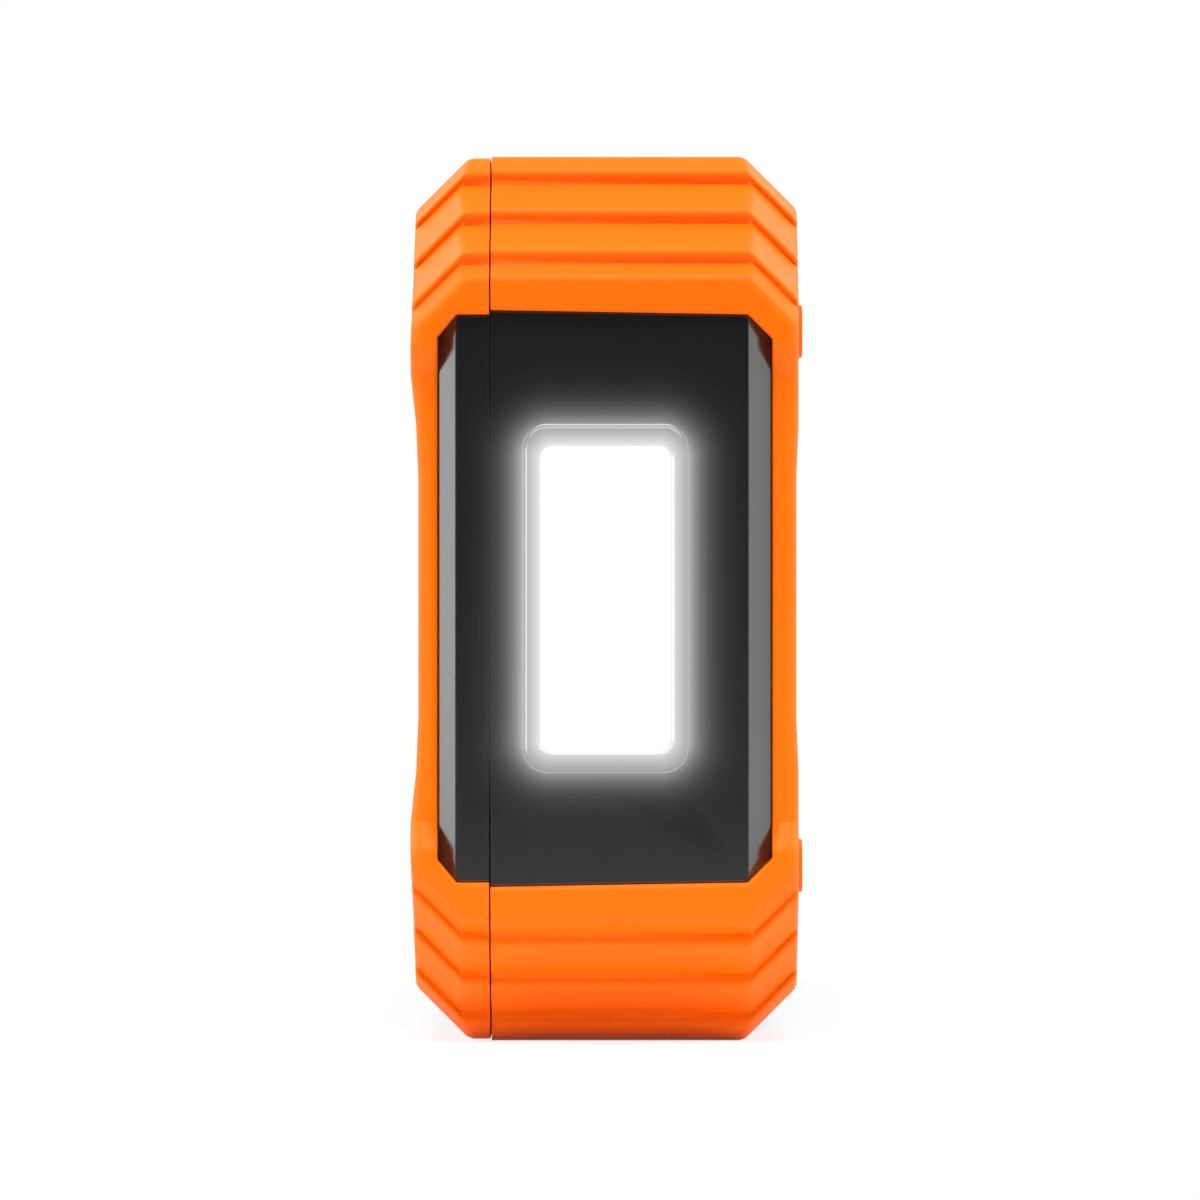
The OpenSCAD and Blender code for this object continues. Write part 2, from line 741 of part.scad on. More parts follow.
module lamp_chips() color([1, 0.9, 0.5]) standing()
    for (i = [-1, 1], k = [0:chip_rows - 1])
        translate([lamp_x + i * chip_x - chip[0] / 2, lamp_board_y - chip[1],
                (k - (chip_rows - 1) / 2) * chip_pitch - chip[2] / 2]) cube(chip);

module small_screw(l) {
    translate([0, 0, -l]) cylinder(r = small_screw_r, h = l);
    cylinder(r = small_head_r, h = small_head_h);
}

module lamp_screws() color(metal) standing()
    at_lamp_posts() translate([0, 0, lamp_board_y + lamp_board_t]) small_screw(small_screw_l);

// Two leads from the lamp board, round the front edge of the cells, to the control board
module lamp_leads() color([0.8, 0.1, 0.1]) standing() for (z = [-lead_pitch, lead_pitch] / 2)
    along_z(z - lamp_lead_t / 2, z + lamp_lead_t / 2) polygon(concat(
        [for (p = lead_route) p - [lamp_lead_t / 2, 0]],
        [for (i = [len(lead_route) - 1:-1:0]) lead_route[i] + [lamp_lead_t / 2, 0]]));

// ---- front face --------------------------------------------------------------------------

module display_window() color([0.05, 0.05, 0.06]) standing()
    at_display(face_front_x, face_front_x + window_t)
        rounded(display_l, display_w, window_r);

module display_module() color([0.2, 0.2, 0.22]) standing()
    at_display(inner_front_x + play, board_x)
        rounded(display_l - 2 * ledge - 2, display_w - 2 * ledge - 2, 0.6);

module power_button() color(black) standing() at_button() {
    translate([0, 0, face_front_x - button_proud])
        cylinder(r = button_r, h = flange_x + flange_t - face_front_x + button_proud);
    translate([0, 0, flange_x]) cylinder(r = flange_r, h = flange_t);
    translate([0, 0, flange_x]) cylinder(r = plunger_r + 0.4, h = stem_x - flange_x);
}

module switch_plunger() color([0.3, 0.3, 0.3]) standing() at_button()
    translate([0, 0, stem_x]) cylinder(r = plunger_r, h = switch_x - stem_x + 0.5);

module switch_body() color(metal) standing() difference() {
    box([switch_x, button_y - switch_w / 2, -switch_w / 2],
        [board_x, button_y + switch_w / 2, switch_w / 2]);
    at_button() translate([0, 0, switch_x])
        cylinder(r = plunger_r + plunger_gap, h = 2 * (button_travel + 0.6), center = true);
}

// ---- boards ------------------------------------------------------------------------------

module control_board() color(board_green) standing() difference() {
    along_x(board_x, board_back) {
        translate([board_y0, -board_w / 2]) square([board_y1 - board_y0, board_w]);
        translate([board_y1 - 1, usb_z - board_tongue_w / 2])
            square([board_tongue_y - board_y1 + 1, board_tongue_w]);
    }
    at_posts() cylinder(r = small_hole_r, h = 2 * reach, center = true);
}

module board_screws() color(metal) standing()
    at_posts() translate([0, 0, board_back]) small_screw(small_screw_l);

module power_inductor() color([0.3, 0.3, 0.32]) standing()
    translate([board_back, inductor_y, inductor_z]) rotate([0, 90, 0])
        cylinder(r = inductor_r, h = inductor_h);

module capacitors() color([0.2, 0.25, 0.5]) standing()
    for (y = capacitor_y) translate([board_back, y, capacitor_z]) rotate([0, 90, 0])
        cylinder(r = capacitor_r, h = capacitor_h);

module balance_board() color(board_green) standing()
    box([stack_x, balance_y, balance_inset - cell_w / 2],
        [stack_x + cell_count * cell_t, balance_y + balance_t, cell_w / 2 - balance_inset]);

module output_board() color(board_green) standing()
    box([output_x, board_y1 - output_lap, usb_z - board_tongue_w / 2],
        [output_x + output_t, board_tongue_y, recess_z]);

// Pins in a strip between the control board and the output board
module board_header() color(brass) standing() translate([board_back, header_y, usb_z]) {
    box([0, -header[1] / 2, -header[2] / 2], [header[0], header[1] / 2, header[2] / 2]);
    for (k = [-1.5:1:1.5])
        box([header[0] / 2, -pin_t / 2, k * pin_pitch - pin_t / 2],
            [output_x - board_back, pin_t / 2, k * pin_pitch + pin_t / 2]);
}

// ---- battery -----------------------------------------------------------------------------

module cell(k) color([0.55, 0.6, 0.68]) standing() along_y(cell_y0, cell_y1)
    translate([stack_x + (k + 0.5) * cell_t, 0]) rounded(cell_t, cell_w, cell_r);

module cell_front() cell(0);
module cell_middle() cell(1);
module cell_rear() cell(2);

module foam_front() color([0.25, 0.25, 0.25]) standing()
    box([board_back, button_y - 2, foam_inset - post_z],
        [stack_x, cell_y1 - foam_inset, post_z - foam_inset]);

module foam_rear() color([0.25, 0.25, 0.25]) standing()
    box([inner_rear_x - foam_rear_t, cell_y0 + foam_inset, foam_inset - cell_w / 2],
        [inner_rear_x, cell_y1 - foam_inset, cell_w / 2 - foam_inset]);

module cell_tabs() color(metal) standing() for (k = [0:cell_count - 1], i = [-1, 1])
    translate([stack_x + (k + 0.5) * cell_t - tab_t / 2, cell_y1, i * tab_z - tab_w / 2])
        cube([tab_t, tab_l, tab_w]);

// Heavy leads from the balance board to the jump contacts, each with a crimped sleeve
module heavy_lead(i) at_contacts([i]) {
    translate([0, 0, balance_y + balance_t])
        cylinder(r = lead_r, h = tail_y - balance_y - balance_t);
    difference() {
        translate([0, 0, tail_y - sleeve_l / 2]) cylinder(r = sleeve_r, h = sleeve_l);
        cylinder(r = tail_r, h = half_l);
    }
}

module positive_lead() color([0.75, 0.08, 0.08]) standing() heavy_lead(1);
module negative_lead() color([0.1, 0.1, 0.1]) standing() heavy_lead(-1);

// ---- sockets -----------------------------------------------------------------------------

module at_contacts(signs)
    for (i = signs) translate([jump_x, 0, jump_z + i * jump_pitch / 2]) rotate([-90, 0, 0])
        children();
module at_jump(y0, y1) along_y(y0, y1) translate([jump_x, jump_z]) children();

module jump_socket() color([0.1, 0.2, 0.55]) standing() difference() {
    union() {
        at_jump(inner_y - jump_body_l, floor_y) rounded(nose[0], nose[1], 1.5 - slack);
        at_jump(inner_y - jump_flange_t, inner_y)
            rounded(jump_flange[0], jump_flange[1], 1.5);
    }
    at_jump(floor_y - mouth_d, half_l) rounded(mouth[0], mouth[1], 1);
    difference() {
        at_jump(floor_y - mouth_d - groove_d, half_l) rounded(mouth[0], mouth[1], 1);
        at_jump(0, half_l) rounded(mouth[0] - 2 * groove_w, mouth[1] - 2 * groove_w, 1);
    }
    at_contacts([-1, 1]) {
        cylinder(r = contact_bore / 2, h = half_l);
        cylinder(r = contact_r + slack, h = contact_y1);
    }
}

module contact(i) color(brass) standing() at_contacts([i]) difference() {
    union() {
        translate([0, 0, contact_y1 - contact_l]) cylinder(r = contact_r, h = contact_l);
        translate([0, 0, tail_y]) cylinder(r = tail_r, h = tail_l + 1);
    }
    translate([0, 0, contact_y1 - contact_depth])
        cylinder(r = contact_bore / 2, h = contact_depth + 1);
}
module positive_contact() contact(1);
module negative_contact() contact(-1);

module usb_a_socket() color(metal) standing() {
    difference() {
        along_y(floor_y - usb_a_l, floor_y) translate([usb_a_x, usb_z])
            rounded(usb_a[0], usb_a[1], 0.5);
        along_y(floor_y - usb_a_l + 2, half_l) translate([usb_a_x, usb_z])
            rounded(usb_a[0] - 2 * usb_wall, usb_a[1] - 2 * usb_wall, 0.3);
    }
    // tongue with the contacts
    box([usb_a_x + 0.4, floor_y - usb_a_l + 1, usb_z - 5.5],
        [usb_a_x + 2.1, floor_y - 1.8, usb_z + 5.5]);
}

module usb_c_socket() color(metal) standing() {
    difference() {
        along_y(floor_y - usb_c_l, floor_y) translate([usb_c_x, usb_z])
            rounded(usb_c[0], usb_c[1], usb_c[0] / 2 - 0.01);
        along_y(floor_y - usb_c_l + 2, half_l) translate([usb_c_x, usb_z])
            rounded(usb_c[0] - 2 * usb_wall, usb_c[1] - 2 * usb_wall,
                usb_c[0] / 2 - usb_wall - 0.01);
    }
    box([usb_c_x - 0.35, floor_y - usb_c_l + 1, usb_z - 3.3],
        [usb_c_x + 0.35, floor_y - 1.3, usb_z + 3.3]);
}

module dc_socket() color([0.15, 0.15, 0.15]) standing() {
    difference() {
        union() {
            translate([dc_x, inner_y, dc_z]) rotate([-90, 0, 0])
                cylinder(r = dc_nose_r, h = floor_y - inner_y);
            box([dc_x - dc_box / 2, inner_y - dc_l, dc_z - dc_box / 2],
                [dc_x + dc_box / 2, inner_y, dc_z + dc_box / 2]);
        }
        translate([dc_x, floor_y - dc_depth, dc_z]) rotate([-90, 0, 0])
            cylinder(r = dc_bore_r, h = dc_depth + 1);
    }
    translate([dc_x, floor_y - dc_depth - 1, dc_z]) rotate([-90, 0, 0])
        cylinder(r = dc_pin_r, h = dc_depth - 0.8);
}

// ---- covers of the sockets ---------------------------------------------------------------

tab = [1.2, 0.5, 12];    // finger tab along the free edge
module cover_plate(z) {
    along_y(cover_back, panel_y + cover_proud) {
        translate([(cover_x0 + cover_x1) / 2, z]) rounded(cover_x1 - cover_x0, cover_h, 1.2);
        translate([cover_x1 - 2, z - hinge_l / 2]) square([2, hinge_l]);
    }
    box([cover_x0 + 0.3, cover_back + 1, z - tab[2] / 2],
        [cover_x0 + 0.3 + tab[0], panel_y + cover_proud + tab[1], z + tab[2] / 2]);
    box([cover_x1 - 0.5, hinge_y - neck_t / 2, z - hinge_l / 2],
        [hinge_x, hinge_y + neck_t / 2, z + hinge_l / 2]);
    translate([hinge_x, hinge_y, z - hinge_l / 2]) cylinder(r = bead_r, h = hinge_l);
}

module cover_anchor(z) {
    difference() {
        union() {
            box([hinge_x, floor_y, z - hinge_l / 2],
                [hinge_x + anchor_w, hinge_y + anchor_lip, z + hinge_l / 2]);
            box([hinge_x - anchor_under, floor_y, z - hinge_l / 2],
                [hinge_x, hinge_y - neck_t / 2 - bead_gap, z + hinge_l / 2]);
        }
        translate([hinge_x, hinge_y, z - half_l])
            cylinder(r = bead_r + bead_gap, h = case_l);
    }
    box([hinge_x + anchor_w - peg_t, inner_y - barb_t, z - peg_l / 2],
        [hinge_x + anchor_w, floor_y + 0.2, z + peg_l / 2]);
    box([hinge_x + anchor_w - peg_t - 0.5, inner_y - barb_t - slack, z - peg_l / 2],
        [hinge_x + anchor_w + 0.3, inner_y - slack, z + peg_l / 2]);
}

// Plug of a cover, which enters a socket by the depth d
module plug(d, x, z) along_y(floor_y - d, cover_back + 0.5) translate([x, z]) children();

module jump_cover() color([0.16, 0.16, 0.16]) standing() {
    cover_plate(jump_cover_z);
    plug(mouth_d - play, jump_x, jump_z)
        rounded(mouth[0] - 2.6 * plug_play, mouth[1] - 2 * plug_play, 0.8);
}

module port_cover() color([0.16, 0.16, 0.16]) standing() {
    cover_plate(port_cover_z);
    plug(1.1, usb_a_x, usb_z) rounded(
        usb_a[0] - 2 * usb_wall - 2 * plug_play, usb_a[1] - 2 * usb_wall - 2 * plug_play, 0.3);
    plug(0.8, usb_c_x, usb_z) rounded(
        usb_c[0] - 2 * usb_wall - 2 * plug_play, usb_c[1] - 2 * usb_wall - 2 * plug_play, 0.6);
    plug(1.1, dc_x, dc_z) circle(dc_bore_r - plug_play);
}

module jump_cover_anchor() color([0.16, 0.16, 0.16]) standing() cover_anchor(jump_cover_z);
module port_cover_anchor() color([0.16, 0.16, 0.16]) standing() cover_anchor(port_cover_z);

// ---- case screws -------------------------------------------------------------------------

module case_screws() color(metal) standing() at_screws() {
    translate([0, 0, seat_x - screw_l]) cylinder(r = screw_r, h = screw_l);
    difference() {
        translate([0, 0, seat_x]) cylinder(r = screw_head_r, h = screw_head_h);
        translate([0, 0, seat_x + screw_head_h]) {
            cube([drive_l, drive_w, 2 * drive_d], center = true);
            cube([drive_w, drive_l, 2 * drive_d], center = true);
        }
    }
}

front_shell();
rear_shell();
front_bumper_lamp_end();
rear_bumper_lamp_end();
front_bumper_socket_end();
rear_bumper_socket_end();
lamp_frame();
lamp_lens();
lamp_reflector();
lamp_board();
lamp_chips();
lamp_screws();
lamp_leads();
display_window();
display_module();
power_button();
switch_plunger();
switch_body();
control_board();
power_inductor();
capacitors();
board_screws();
cell_front();
cell_middle();
cell_rear();
foam_front();
foam_rear();
cell_tabs();
balance_board();
positive_lead();
negative_lead();
jump_socket();
positive_contact();
negative_contact();
output_board();
board_header();
usb_a_socket();
usb_c_socket();
dc_socket();
jump_cover();
jump_cover_anchor();
port_cover();
port_cover_anchor();
case_screws();
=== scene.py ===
import math

import bmesh
import bpy
from mathutils import Matrix, Vector


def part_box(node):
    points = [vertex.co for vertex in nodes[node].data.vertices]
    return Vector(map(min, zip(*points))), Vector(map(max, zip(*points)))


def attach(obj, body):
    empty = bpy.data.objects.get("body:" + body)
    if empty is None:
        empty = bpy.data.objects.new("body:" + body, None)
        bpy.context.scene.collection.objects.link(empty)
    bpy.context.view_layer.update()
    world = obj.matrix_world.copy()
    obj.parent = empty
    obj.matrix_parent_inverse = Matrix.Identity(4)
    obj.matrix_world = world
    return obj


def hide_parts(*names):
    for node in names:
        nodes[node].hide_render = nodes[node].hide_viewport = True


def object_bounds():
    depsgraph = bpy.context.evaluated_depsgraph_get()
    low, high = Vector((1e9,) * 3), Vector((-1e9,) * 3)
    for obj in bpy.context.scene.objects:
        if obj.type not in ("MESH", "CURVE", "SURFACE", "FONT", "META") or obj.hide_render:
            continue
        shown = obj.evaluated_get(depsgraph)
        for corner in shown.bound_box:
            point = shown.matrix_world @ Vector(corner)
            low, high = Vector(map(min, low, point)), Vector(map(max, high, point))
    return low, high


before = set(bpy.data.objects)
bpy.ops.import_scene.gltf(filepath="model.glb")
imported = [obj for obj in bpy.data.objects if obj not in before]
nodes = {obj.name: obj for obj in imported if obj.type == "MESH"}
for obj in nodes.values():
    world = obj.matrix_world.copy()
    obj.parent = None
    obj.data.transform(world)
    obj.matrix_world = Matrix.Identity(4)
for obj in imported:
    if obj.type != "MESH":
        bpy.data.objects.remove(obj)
cad_low, cad_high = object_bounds()
MM = 0.001

# ---- hard shells ------------------------------------------------------------------------------
# Two halves of fine-grained black plastic, moulded, that meet along a parting line and are held
# by six screws from the rear. Their rims are broken by small radii, as a mould leaves them.

WELD = 0.002 * MM
FLAT_DEGREES = 0.6
SHARP_DEGREES = 20
HALF_SEAM = 0.08 * MM
PART_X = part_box("rear_shell")[0].x - HALF_SEAM
MIDDLE_Z = (cad_low.z + cad_high.z) / 2


def mark_sharp(skin):
    for edge in skin.edges:
        edge.smooth = edge.calc_face_angle(0) < math.radians(SHARP_DEGREES)


def merged(node):
    """The CAD node as one closed skin, with no triangles left across its flat faces."""
    skin = bmesh.new()
    skin.from_mesh(nodes[node].data)
    bmesh.ops.remove_doubles(skin, verts=skin.verts, dist=WELD)
    bmesh.ops.dissolve_limit(skin, angle_limit=math.radians(FLAT_DEGREES),
                             use_dissolve_boundaries=False, verts=skin.verts, edges=skin.edges)
    mark_sharp(skin)
    return skin


def middle(edge):
    return (edge.verts[0].co + edge.verts[1].co) / 2


def sharp_edges(skin, least_degrees, least_length, wanted):
    """Edges that turn outwards by more than the angle, where their middle is wanted."""
    return [edge for edge in skin.edges
            if len(edge.link_faces) == 2 and edge.calc_length() > least_length
            and edge.calc_face_angle_signed() > math.radians(least_degrees)
            and wanted(middle(edge))]


def round_off(skin, edges, radius, segments=2):
    for edge in edges:
        edge.smooth = True
    bmesh.ops.bevel(skin, geom=edges, offset=radius, offset_type="OFFSET", affect="EDGES",
                    segments=segments, profile=0.5, clamp_overlap=False, loop_slide=True,
                    material=-1)


def new_piece(skin, name, body, material, stands_for=()):
    """Turns a skin into a piece with a finish, which rides on a body."""
    mesh = bpy.data.meshes.new(name)
    for face in skin.faces:
        face.smooth = True
    skin.to_mesh(mesh)
    skin.free()
    piece = bpy.data.objects.new(name, mesh)
    bpy.context.scene.collection.objects.link(piece)
    mesh.materials.append(material)
    weighted = piece.modifiers.new("even_shading", "WEIGHTED_NORMAL")
    weighted.weight = 100
    weighted.keep_sharp = True
    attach(piece, body)
    if stands_for:
        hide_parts(*stands_for)


def add_socket(group, name, way, kind, value=None):
    socket = group.interface.new_socket(name=name, in_out=way, socket_type=kind)
    if value is not None:
        socket.default_value = value


def join(tree, start, end):
    tree.links.new(start, end)


def math_node(tree, operation, *values):
    """A Math node whose inputs are numbers or other nodes' outputs; returns its output."""
    node = tree.nodes.new("ShaderNodeMath")
    node.operation = operation
    for socket, value in zip(node.inputs, values):
        if isinstance(value, (int, float)):
            socket.default_value = value
        else:
            join(tree, value, socket)
    return node.outputs[0]


def make_grain_group():
    """Moulded grain of a given size, and soft clouds a few millimetres wide over it."""
    group = bpy.data.node_groups.new("moulded_grain", "ShaderNodeTree")
    add_socket(group, "Grain Size", "INPUT", "NodeSocketFloat", 0.15 * MM)
    add_socket(group, "Cloud Size", "INPUT", "NodeSocketFloat", 9 * MM)
    add_socket(group, "Grain", "OUTPUT", "NodeSocketFloat")
    add_socket(group, "Cloud", "OUTPUT", "NodeSocketFloat")
    ends = group.nodes.new("NodeGroupInput"), group.nodes.new("NodeGroupOutput")
    place = group.nodes.new("ShaderNodeTexCoord")
    for socket, detail in (("Grain", 3.0), ("Cloud", 2.0)):
        noise = group.nodes.new("ShaderNodeTexNoise")
        noise.inputs["Detail"].default_value = detail
        join(group, place.outputs["Object"], noise.inputs["Vector"])
        join(group, math_node(group, "DIVIDE", 1.0, ends[0].outputs[socket + " Size"]),
             noise.inputs["Scale"])
        join(group, noise.outputs["Fac"], ends[1].inputs[socket])
    return group


grain_group = make_grain_group()
COAT_IOR = 2.0


def finish(name, colour, roughness, grain=0.15, depth=0.01, clouds=0.06, metallic=0.0,
           specular=0.5, coat=0.0, spread=0.06):
    """A surface whose colour, roughness and relief follow its grain; grain and depth in mm."""
    material = bpy.data.materials.new(name)
    material.use_nodes = True
    tree = material.node_tree
    shader = tree.nodes["Principled BSDF"]
    shader.inputs["Metallic"].default_value = metallic
    shader.inputs["Specular IOR Level"].default_value = specular
    shader.inputs["Coat Weight"].default_value = coat
    shader.inputs["Coat IOR"].default_value = COAT_IOR
    surface = tree.nodes.new("ShaderNodeGroup")
    surface.node_tree = grain_group
    surface.name = "surface"
    surface.inputs["Grain Size"].default_value = grain * MM
    tint = tree.nodes.new("ShaderNodeMix")
    tint.data_type = "RGBA"
    tint.name = "tint"
    tint.inputs["A"].default_value = (*[c * (1 - clouds) for c in colour], 1)
    tint.inputs["B"].default_value = (*[min(1, c * (1 + clouds)) for c in colour], 1)
    join(tree, surface.outputs["Cloud"], tint.inputs["Factor"])
    join(tree, tint.outputs["Result"], shader.inputs["Base Color"])
    shine = tree.nodes.new("ShaderNodeMapRange")
    shine.inputs["To Min"].default_value = roughness - spread
    shine.inputs["To Max"].default_value = roughness + spread
    join(tree, surface.outputs["Grain"], shine.inputs["Value"])
    join(tree, shine.outputs["Result"], shader.inputs["Roughness"])
    relief = tree.nodes.new("ShaderNodeBump")
    relief.inputs["Distance"].default_value = depth * MM
    join(tree, surface.outputs["Grain"], relief.inputs["Height"])
    join(tree, relief.outputs["Normal"], shader.inputs["Normal"])
    return material


# Painted light: the lamp's glow is painted as emission on the panel and the frame round its
# window,
#  fading with the distance from the window; on the lens it is the lamp's own light
LAMP_X = -0.1 * MM
WINDOW_W = 11.8 * MM
WINDOW_H = 27.8 * MM
WINDOW_CORNER = 1.1 * MM
GLOW_REACH = 5 * MM


def make_painted_glow_group():
    """Painted glow of the lamp on what lies round its window: emission fading with the distance
    from it.
    """
    group = bpy.data.node_groups.new("painted_lamp_glow", "ShaderNodeTree")
    add_socket(group, "Strength", "INPUT", "NodeSocketFloat", 1.0)
    add_socket(group, "Fade", "INPUT", "NodeSocketFloat", 1.0 * MM)
    add_socket(group, "Glow", "OUTPUT", "NodeSocketColor")
    ends = group.nodes.new("NodeGroupInput"), group.nodes.new("NodeGroupOutput")
    place = group.nodes.new("ShaderNodeTexCoord")
    axes = group.nodes.new("ShaderNodeSeparateXYZ")
    join(group, place.outputs["Object"], axes.inputs[0])
    gaps = []
    for axis, centre, size in (("X", LAMP_X, WINDOW_W), ("Z", MIDDLE_Z, WINDOW_H)):
        offset = math_node(group, "SUBTRACT", axes.outputs[axis], centre)
        beyond = math_node(group, "SUBTRACT", math_node(group, "ABSOLUTE", offset),
                           size / 2 - WINDOW_CORNER)
        gap = math_node(group, "MAXIMUM", beyond, 0.0)
        gaps.append(math_node(group, "MULTIPLY", gap, gap))
    from_core = math_node(group, "SQRT", math_node(group, "ADD", *gaps))
    distance = math_node(group, "MAXIMUM",
                         math_node(group, "SUBTRACT", from_core, WINDOW_CORNER), 0.0)
    share = math_node(group, "DIVIDE", distance, ends[0].outputs["Fade"])
    fade = math_node(group, "EXPONENT", math_node(group, "MULTIPLY", share, -1.0))
    front = math_node(group, "LESS_THAN", axes.outputs["Y"], cad_low.y + GLOW_REACH)
    light = math_node(group, "MULTIPLY", math_node(group, "MULTIPLY", fade, front),
                      ends[0].outputs["Strength"])
    join(group, light, ends[1].inputs["Glow"])
    return group


painted_glow_group = make_painted_glow_group()


def paint_lamp_glow(material, strength, fade):
    """Paints the lamp's glow into a material as emission; the fade is in mm."""
    tree = material.node_tree
    glow = tree.nodes.new("ShaderNodeGroup")
    glow.node_tree = painted_glow_group
    glow.inputs["Strength"].default_value = strength
    glow.inputs["Fade"].default_value = fade * MM
    shader = tree.nodes["Principled BSDF"]
    shader.inputs["Emission Strength"].default_value = 1.0
    join(tree, glow.outputs["Glow"], shader.inputs["Emission Color"])


PANEL_Y = 85.8 * MM
PANEL_COAT_ROUGHNESS = 0.22


def make_end_group():
    """1 on the smooth end panels of the case, and 0 on its grained faces."""
    group = bpy.data.node_groups.new("end_panels", "ShaderNodeTree")
    add_socket(group, "Mask", "OUTPUT", "NodeSocketFloat")
    place = group.nodes.new("ShaderNodeTexCoord")
    axes = group.nodes.new("ShaderNodeSeparateXYZ")
    join(group, place.outputs["Object"], axes.inputs[0])
    reach = math_node(group, "ABSOLUTE", axes.outputs["Y"])
    join(group, math_node(group, "GREATER_THAN", reach, PANEL_Y),
         group.nodes.new("NodeGroupOutput").inputs["Mask"])
    return group


def polish_ends(material):
    """A smooth clear coat on the end panels only."""
    tree = material.node_tree
    mask = tree.nodes.new("ShaderNodeGroup")
    mask.node_tree = make_end_group()
    shader = tree.nodes["Principled BSDF"]
    shader.inputs["Coat Roughness"].default_value = PANEL_COAT_ROUGHNESS
    join(tree, mask.outputs["Mask"], shader.inputs["Coat Weight"])


shell_black = finish("shell_black", (0.004, 0.004, 0.0044), 0.46, grain=0.12, depth=0.006,
                     clouds=0.1, specular=0.2)
# Painted light: the lamp's glow is painted as emission on the black panel round the lamp window
paint_lamp_glow(shell_black, 2.6, 1.06)
polish_ends(shell_black)

# The skin of the shells lies beyond these places, and their cavity within them
SKIN_Y = 83.7 * MM
SKIN_Z = 38.1 * MM
SKIN_FRONT = -14.95 * MM
SKIN_REAR = 15.1 * MM
SEAM_REACH = 0.3 * MM


def on_shell_skin(place):
    return (abs(place.y) > SKIN_Y or abs(place.z - MIDDLE_Z) > SKIN_Z
            or place.x < SKIN_FRONT or place.x > SKIN_REAR)


def on_seam(place):
    return abs(place.x - PART_X) < SEAM_REACH


SHELL_RADIUS = 0.22 * MM
SHELL_EDGE = 0.9 * MM
SEAM_RADIUS = 0.04 * MM
SEAM_EDGE = 0.3 * MM


def break_seam(skin, on_skin):
    """Takes the sharpness off the parting line; the shortest edges are left out."""
    round_off(skin, sharp_edges(skin, SHARP_DEGREES, SEAM_EDGE,
                                lambda p: on_skin(p) and on_seam(p)), SEAM_RADIUS, 1)


for node in ("front_shell", "rear_shell"):
    skin = merged(node)
    break_seam(skin, on_shell_skin)
    round_off(skin, sharp_edges(skin, SHARP_DEGREES, SHELL_EDGE,
                                lambda p: on_shell_skin(p) and not on_seam(p)), SHELL_RADIUS)
    new_piece(skin, node + "_moulding", "case", shell_black, [node])

# ---- bumpers ----------------------------------------------------------------------------------
# Ribbed corner bumpers of satin orange rubber-like plastic, moulded onto both ends of each
# shell. The crests of the ribs are softly rounded and the grooves under them stay crisp.

CREST_RADIUS = 0.5 * MM
CREST_EDGE = 0.4 * MM
PAD_RADIUS = 0.12 * MM
PAD_EDGE = 0.02 * MM
PAD_X = 17.75 * MM

# Faces of the shell's core, on which the bumpers lie
CORE_Y = 85.65 * MM
CORE_Z = 38.7 * MM
CORE_CORNER = 115.4 * MM
CORE_BEVEL = 50.45 * MM
CORE_FRONT = -15.55 * MM
CORE_REAR = 15.25 * MM

bumper_orange = finish("bumper_orange", (0.98, 0.152, 0.001), 0.44, grain=0.14, depth=0.008,
                       clouds=0.03, specular=0.11)


def on_bumper_skin(place):
    """True where a bumper's edge shows, and false where it lies against the shell."""
    y, z = abs(place.y), abs(place.z - MIDDLE_Z)
    return (y > CORE_Y or z > CORE_Z or y + z > CORE_CORNER or z + abs(place.x) > CORE_BEVEL
            or place.x < CORE_FRONT or place.x > CORE_REAR)


def on_crest(place):
    return on_bumper_skin(place) and not on_seam(place) and place.x < PAD_X


for node in ("front_bumper_lamp_end", "rear_bumper_lamp_end",
             "front_bumper_socket_end", "rear_bumper_socket_end"):
    skin = merged(node)
    break_seam(skin, on_bumper_skin)
    round_off(skin, sharp_edges(skin, SHARP_DEGREES, CREST_EDGE, on_crest), CREST_RADIUS, 4)
    round_off(skin, sharp_edges(skin, SHARP_DEGREES, PAD_EDGE, lambda p: p.x > PAD_X),
              PAD_RADIUS)
    new_piece(skin, node + "_moulding", "case", bumper_orange, [node])

# ---- lamp -------------------------------------------------------------------------------------
# A glossy frame round a frosted lens, and behind it a white reflector and a board with two
#  columns of light chips. The frame carries a painted glow, as emission that grows brighter
#  towards the lens.

RIM_DEGREES = 30
RIM_SLACK = 0.01 * MM
LIP = 0.42 * MM
LIP_DEPTH = 0.16 * MM
LIP_RADIUS = 0.15 * MM
LENS_RADIUS = 0.12 * MM

frame_black = finish("frame_black", (0.012, 0.012, 0.012), 0.09, grain=0.3, depth=0.002,
                     clouds=0.1, specular=0.6, coat=1.0, spread=0.03)
# Painted light: the lamp's glow is painted as emission on the frame
paint_lamp_glow(frame_black, 0.95, 2.3)
skin = merged("lamp_frame")
rim_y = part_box("lamp_frame")[0].y
rim = [face for face in skin.faces if face.calc_center_median().y < rim_y + RIM_SLACK]
bmesh.ops.inset_region(skin, faces=rim, thickness=LIP, depth=-LIP_DEPTH, use_boundary=True,
                       use_even_offset=True)
round_off(skin, sharp_edges(skin, RIM_DEGREES, 0.02 * MM, lambda p: p.y < rim_y + RIM_SLACK),
          LIP_RADIUS, 3)
new_piece(skin, "lamp_frame_moulding", "case", frame_black, ["lamp_frame"])

lens_white = finish("lens_white", (0.9, 0.9, 0.9), 0.3, grain=0.4, depth=0.004, clouds=0.02)
paint_lamp_glow(lens_white, 1.3, 1.3)
skin = merged("lamp_lens")
lens_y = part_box("lamp_lens")[0].y
round_off(skin, sharp_edges(skin, RIM_DEGREES, 0.05 * MM, lambda p: p.y < lens_y + RIM_SLACK),
          LENS_RADIUS)
new_piece(skin, "lamp_lens_moulding", "case", lens_white, ["lamp_lens"])


def dress(node, material):
    """Gives a CAD node its finish."""
    for place in nodes[node].material_slots:
        place.material = material


